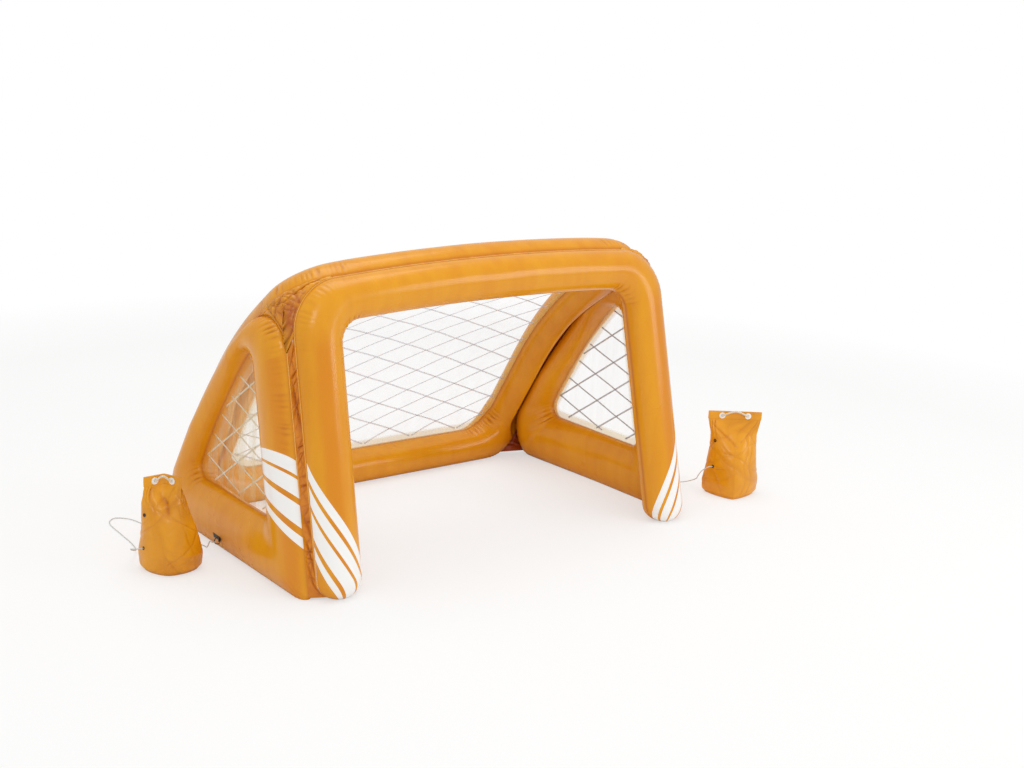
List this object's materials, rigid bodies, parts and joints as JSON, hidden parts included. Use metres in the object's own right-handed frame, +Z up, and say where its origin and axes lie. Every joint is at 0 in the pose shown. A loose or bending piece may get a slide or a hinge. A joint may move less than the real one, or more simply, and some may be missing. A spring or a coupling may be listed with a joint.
{
  "type": "inflatable soccer goal",
  "caption": "Inflatable soccer goal: a leaning arch, triangular sides and a sloping back of air chambers, with net-printed clear windows and ballast bags on tether cords.",
  "frame": {"origin": "on the floor, under the middle of the part's box measured without the tether cords", "axes": "+X to the right for someone looking into the goal mouth, +Y to the back, +Z up"},
  "size_m": [1.953, 0.8906, 0.8179],
  "materials": {
    "vinyl": "glossy yellow-orange vinyl sheet",
    "web_vinyl": "crinkled orange vinyl sheet",
    "clear_film": "clear, slightly hazy film",
    "net_print": "white printed lines",
    "valve_plastic": "soft moulded vinyl",
    "black_plastic": "black plastic",
    "white_cord": "white twisted cord",
    "bag_vinyl": "creased orange vinyl sheet",
    "water": "water, hidden inside the bags",
    "white_plastic": "white plastic eyelet",
    "dark_metal": "dark small eyelet"
  },
  "bodies": {
    "goal": {"arch_valve_base": "valve_plastic", "back_frame_chamber": "vinyl", "back_net_film": "clear_film", "back_net_print": "net_print", "back_valve_base": "valve_plastic", "front_arch_chamber": "vinyl", "left_floor_gusset": "web_vinyl", "left_front_web": "web_vinyl", "left_net_film": "clear_film", "left_net_print": "net_print", "left_rear_web": "web_vinyl", "left_side_chamber": "vinyl", "left_side_valve_base": "valve_plastic", "left_tether_tab": "black_plastic", "left_top_gusset": "web_vinyl", "right_floor_gusset": "web_vinyl", "right_front_web": "web_vinyl", "right_net_film": "clear_film", "right_net_print": "net_print", "right_rear_web": "web_vinyl", "right_side_chamber": "vinyl", "right_side_valve_base": "valve_plastic", "right_tether_tab": "black_plastic", "right_top_gusset": "web_vinyl", "top_web": "web_vinyl"},
    "arch_valve_stopper": {"arch_valve_stopper": "valve_plastic"},
    "back_valve_stopper": {"back_valve_stopper": "valve_plastic"},
    "left_tether": {"left_bag_ballast": "water", "left_bag_handle_cord": "white_cord", "left_bag_hem": "bag_vinyl", "left_bag_left_eyelet": "white_plastic", "left_bag_lower_side_eyelet": "dark_metal", "left_bag_right_eyelet": "white_plastic", "left_bag_skin": "bag_vinyl", "left_bag_upper_side_eyelet": "dark_metal", "left_tether_cord": "white_cord", "left_tether_ring": "black_plastic"},
    "left_side_valve_stopper": {"left_side_valve_stopper": "valve_plastic"},
    "right_tether": {"right_bag_ballast": "water", "right_bag_handle_cord": "white_cord", "right_bag_hem": "bag_vinyl", "right_bag_left_eyelet": "white_plastic", "right_bag_lower_side_eyelet": "dark_metal", "right_bag_right_eyelet": "white_plastic", "right_bag_skin": "bag_vinyl", "right_bag_upper_side_eyelet": "dark_metal", "right_tether_cord": "white_cord", "right_tether_ring": "black_plastic"},
    "right_side_valve_stopper": {"right_side_valve_stopper": "valve_plastic"}
  },
  "joints": [
    {"name": "arch_valve_stopper_hinge", "type": "hinge", "parent": "goal", "child": "arch_valve_stopper", "pos_m": [-0.60875, -0.27423, 0.2967], "axis": [1, 0, 0], "range_deg": [0, 110]},
    {"name": "left_side_valve_stopper_hinge", "type": "hinge", "parent": "goal", "child": "left_side_valve_stopper", "pos_m": [-0.63521, -0.20591, 0.46127], "axis": [-0.0128, -0.9999, 0], "range_deg": [0, 110]},
    {"name": "right_side_valve_stopper_hinge", "type": "hinge", "parent": "goal", "child": "right_side_valve_stopper", "pos_m": [0.55291, -0.20591, 0.46127], "axis": [-0.0128, 0.9999, 0], "range_deg": [0, 110]},
    {"name": "back_valve_stopper_hinge", "type": "hinge", "parent": "goal", "child": "back_valve_stopper", "pos_m": [-0.59695, 0.32785, 0.34265], "axis": [1, 0, 0], "range_deg": [0, 110]},
    {"name": "left_tether_swing", "type": "hinge", "parent": "goal", "child": "left_tether", "pos_m": [-0.73494, 0.02803, 0.03819], "axis": [0, 0, 1], "range_deg": [-8, 35]},
    {"name": "right_tether_swing", "type": "hinge", "parent": "goal", "child": "right_tether", "pos_m": [0.65264, 0.02803, 0.03819], "axis": [0, 0, 1], "range_deg": [-8, 60]}
  ]
}
